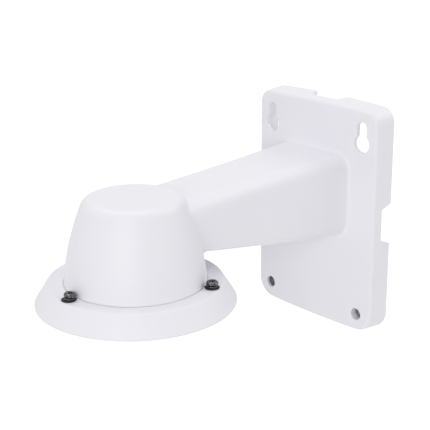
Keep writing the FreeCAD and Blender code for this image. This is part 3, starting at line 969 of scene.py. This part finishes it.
# %% Bare aluminium
bare, tree, shader = new_material("drilled_bare_aluminium")
shader.inputs["Metallic"].default_value = 1.0
shader.inputs["Base Color"].default_value = linear("#A6A6AA")
shader.inputs["Roughness"].default_value = 0.45
where = add(tree, "ShaderNodeTexCoord").outputs["Object"]
rings = add(tree, "ShaderNodeTexWave", [("Vector", where)], wave_type="BANDS", bands_direction="Y",
            Scale=1 / (math.pi * MM), Distortion=1.5)
drill_marks = add(tree, "ShaderNodeBump", [("Height", rings.outputs["Fac"])], Strength=0.5,
                  Distance=0.03 * MM)
tree.links.new(drill_marks.outputs["Normal"], shader.inputs["Normal"])
print(bare.name, len(tree.nodes), "nodes")

# %% [markdown]
# ### Dark plated screw steel
#
# The heads are stamped, threaded and plated dark. Small bright patches in the colour are partly plating
# worn through, as a driver bit leaves it, and partly painted glints; the heads are also finely scuffed all
# over.

# %% Screw steel
steel, tree, shader = new_material("dark_plated_screw_steel")
shader.inputs["Metallic"].default_value = 1.0
where = add(tree, "ShaderNodeTexCoord").outputs["Object"]
scuffs_and_glints = add(tree, "ShaderNodeTexNoise", [("Vector", where)], Scale=1 / (0.8 * MM), Detail=3.0)
# bright patches in the colour: partly worn plating, partly painted glints
wear_and_painted_glints = add(tree, "ShaderNodeMapRange", [("Value", scuffs_and_glints.outputs["Fac"])], From_Min=0.46, From_Max=0.66)
tone = add(tree, "ShaderNodeMix", [("Factor", wear_and_painted_glints.outputs["Result"])], data_type="RGBA")
tone.inputs[colour_a].default_value = linear("#323236")
tone.inputs[colour_b].default_value = linear("#A0A0A4")
plate_gloss = add(tree, "ShaderNodeMapRange", [("Value", scuffs_and_glints.outputs["Fac"])], From_Min=0.3, From_Max=0.7,
                  To_Min=0.12, To_Max=0.24)
marks = add(tree, "ShaderNodeBump", [("Height", scuffs_and_glints.outputs["Fac"])], Strength=0.3, Distance=0.02 * MM)
tree.links.new(tone.outputs[mixed], shader.inputs["Base Color"])
tree.links.new(plate_gloss.outputs["Result"], shader.inputs["Roughness"])
tree.links.new(marks.outputs["Normal"], shader.inputs["Normal"])
print(steel.name, len(tree.nodes), "nodes")

# %% [markdown]
# ### Spring steel and rubber
#
# The spring washer is rolled steel, plated dark, with bright spots in its colour that are partly rubbed
# plating and partly painted glints. The sealing washer is black moulded rubber with a little talc on it,
# so it is dull and slightly uneven.

# %% Spring steel
spring_steel, tree, shader = new_material("dark_rolled_spring_steel")
shader.inputs["Metallic"].default_value = 1.0
where = add(tree, "ShaderNodeTexCoord").outputs["Object"]
rolling_and_glints = add(tree, "ShaderNodeTexNoise", [("Vector", where)], Scale=1 / (0.5 * MM), Detail=2.0)
# bright spots in the colour: partly rubbed plating, partly painted glints
rub_and_painted_glints = add(tree, "ShaderNodeMix", [("Factor", rolling_and_glints.outputs["Fac"])], data_type="RGBA")
rub_and_painted_glints.inputs[colour_a].default_value = linear("#38383B")
rub_and_painted_glints.inputs[colour_b].default_value = linear("#8A8A8D")
roll_gloss = add(tree, "ShaderNodeMapRange", [("Value", rolling_and_glints.outputs["Fac"])], To_Min=0.22, To_Max=0.36)
tree.links.new(rub_and_painted_glints.outputs[mixed], shader.inputs["Base Color"])
tree.links.new(roll_gloss.outputs["Result"], shader.inputs["Roughness"])
print(spring_steel.name, len(tree.nodes), "nodes")

# %% Rubber
rubber, tree, shader = new_material("black_moulded_rubber")
where = add(tree, "ShaderNodeTexCoord").outputs["Object"]
talc = add(tree, "ShaderNodeTexNoise", [("Vector", where)], Scale=1 / (0.6 * MM), Detail=4.0)
dusty = add(tree, "ShaderNodeMix", [("Factor", talc.outputs["Fac"])], data_type="RGBA")
dusty.inputs[colour_a].default_value = linear("#141415")
dusty.inputs[colour_b].default_value = linear("#242426")
pores = add(tree, "ShaderNodeBump", [("Height", talc.outputs["Fac"])], Strength=0.4, Distance=0.02 * MM)
tree.links.new(dusty.outputs[mixed], shader.inputs["Base Color"])
tree.links.new(pores.outputs["Normal"], shader.inputs["Normal"])
shader.inputs["Roughness"].default_value = 0.7
print(rubber.name, len(tree.nodes), "nodes")

# %% [markdown]
# ## Dressing the frame
#
# Each piece gets its finish, rides on the part's one body and takes the place of its solid.

# %% Pieces to the frame
def dress(piece, material, slot, *nodes):
    """Gives a piece its material and its body, and hides the solids that it stands for; slot is not used.
    """
    piece.data.materials.clear()
    piece.data.materials.append(material)
    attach(piece, "root")
    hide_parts(*nodes)


dress(casting, coat, "powder_coat", "bracket_casting")
casting.data.materials.append(bare)
casting.data.polygons.foreach_set("material_index", bore_faces(casting.data).astype(np.int32))
dress(ring, coat, "powder_coat", "camera_flange")
for name in screw_places:
    dress(screws[name], steel, "screw_steel", "camera_screw_" + name)
    dress(springs[name], spring_steel, "washer_steel", "lock_washer_" + name)
    dress(rubbers[name], rubber, "seal_rubber", "seal_washer_" + name)
for name in ring_places:
    dress(under_screws[name], steel, "screw_steel", "ring_screw_" + name)
print("pieces dressed")

# %% [markdown]
# ## Camera
#
# The view was worked out from the photograph: a long lens, 48 degrees round to the right and 18.5
# degrees above the level, with a trace of roll. The picture's centre is half a pixel off the
# lens axis, which the tiny shift puts right.

# %% Camera
def view_axes(azimuth, elevation, roll):
    """right, up and back of a camera or lamp that looks at the object from azimuth and elevation."""
    a, e, r = (math.radians(value) for value in (azimuth, elevation, roll))
    back = np.array([math.sin(a) * math.cos(e), -math.cos(a) * math.cos(e), math.sin(e)])
    level = np.array([math.cos(a), math.sin(a), 0.0])
    upright = np.cross(back, level)
    right = math.cos(r) * level + math.sin(r) * upright
    up = -math.sin(r) * level + math.cos(r) * upright
    return right, up, back


def stand(thing, axes, place):
    """Puts a camera or lamp at a place in metres, with its x, y and z along right, up and back."""
    rows = np.array([*axes, place]).T.tolist()
    thing.matrix_world = Matrix([*rows, (0, 0, 0, 1)])
    bpy.context.scene.collection.objects.link(thing)


azimuth, elevation, roll = 48.205, 18.534, -0.396
aim = np.array([0.0, -60.0, 32.601])
distance, aside, below = 920.219, 52.539, 26.703
level, upright, back = view_axes(azimuth, elevation, 0.0)
eye = (aim + distance * back - aside * level - below * upright) * MM
picture, focal_pixels = 430, 1135.958
lens = bpy.data.cameras.new("long_lens")
lens.lens = focal_pixels / picture * lens.sensor_width
lens.shift_x, lens.shift_y = -0.5 / picture, 0.5 / picture
lens.clip_start = 0.02
camera = bpy.data.objects.new("camera", lens)
stand(camera, view_axes(azimuth, elevation, roll), eye)
bpy.context.scene.camera = camera
print("lens", round(lens.lens, 1), "mm")

# %% [markdown]
# ## Studio
#
# The photograph was taken in a white tent: light comes from everywhere. The world gives the tent's
# light, and three large lamps, low in front, high on the left and behind on the right, give the
# drift from bright to less bright that models the form. The background is white for the camera and
# for reflections only, so it puts no extra light on the object. The floor is pale paper that is
# lifted to white in the same way, and it keeps the object's faint shadow.

# %% World
tent_strength = 0.585


def seen_directly(tree):
    """1 for a ray of the camera, of a reflection or through glass, 0 for one that carries light:
    the largest of the three answers that Light Path gives."""
    path = add(tree, "ShaderNodeLightPath")
    seen = path.outputs["Is Camera Ray"]
    for ray in ("Is Glossy Ray", "Is Transmission Ray"):
        either = add(tree, "ShaderNodeMath", [(0, seen), (1, path.outputs[ray])], operation="MAXIMUM")
        seen = either.outputs[0]
    return seen


scene = bpy.context.scene
scene.view_settings.view_transform = "Standard"
world = bpy.data.worlds.new("white_tent")
scene.world = world
world.use_nodes = True
tree = world.node_tree
tree.nodes.clear()
tent = add(tree, "ShaderNodeBackground", Color=linear("#FFFFFF"), Strength=tent_strength)
white = add(tree, "ShaderNodeBackground", Color=linear("#FFFFFF"), Strength=1.0)
shown = add(tree, "ShaderNodeMixShader",
            [(0, seen_directly(tree)), (1, tent.outputs[0]), (2, white.outputs[0])])
add(tree, "ShaderNodeOutputWorld", [("Surface", shown.outputs[0])])
print("tent strength", tent_strength)

# %% Floor
floor_z, floor_half, floor_lift = -0.7, 30, 0.55
floor_corners = [(x * floor_half, y * floor_half, floor_z) for x, y in ((-1, -1), (1, -1), (1, 1), (-1, 1))]
floor_mesh = bpy.data.meshes.new("studio_floor")
floor_mesh.from_pydata(floor_corners, [], [(0, 1, 2, 3)])
floor = bpy.data.objects.new("studio_floor", floor_mesh)
scene.collection.objects.link(floor)
paper, tree, shader = new_material("pale_floor_paper")
shader.inputs["Base Color"].default_value = linear("#F2F2F2")
shader.inputs["Roughness"].default_value = 0.9
lift = add(tree, "ShaderNodeMath", [(0, seen_directly(tree))], operation="MULTIPLY")
lift.inputs[1].default_value = floor_lift
glow = add(tree, "ShaderNodeEmission", [("Strength", lift.outputs[0])], Color=linear("#FFFFFF"))
lifted = add(tree, "ShaderNodeAddShader", [(0, shader.outputs[0]), (1, glow.outputs[0])])
tree.links.new(lifted.outputs[0], tree.nodes["Material Output"].inputs["Surface"])
floor_mesh.materials.append(paper)
print("floor at", floor_z, "m")

# %% Lamps
lamp_distance, lamp_aim = 1.8, np.array([0.0, -0.1, 0.0])


def lamp(name, azimuth, elevation, size, watts):
    """A square soft lamp that faces the object from azimuth and elevation. Its size is in metres."""
    axes = view_axes(azimuth, elevation, 0.0)
    light = bpy.data.lights.new(name, "AREA")
    light.size, light.energy = size, watts
    stand(bpy.data.objects.new(name, light), axes, lamp_aim + lamp_distance * axes[2])


lamp("front_softbox", azimuth=32, elevation=14, size=0.8, watts=9.0)
lamp("left_softbox", azimuth=-90, elevation=70, size=1.0, watts=6.8)
lamp("rear_softbox", azimuth=150, elevation=40, size=1.0, watts=6.0)
print("lamps ready")

# %% First frame
scene.frame_set(1)
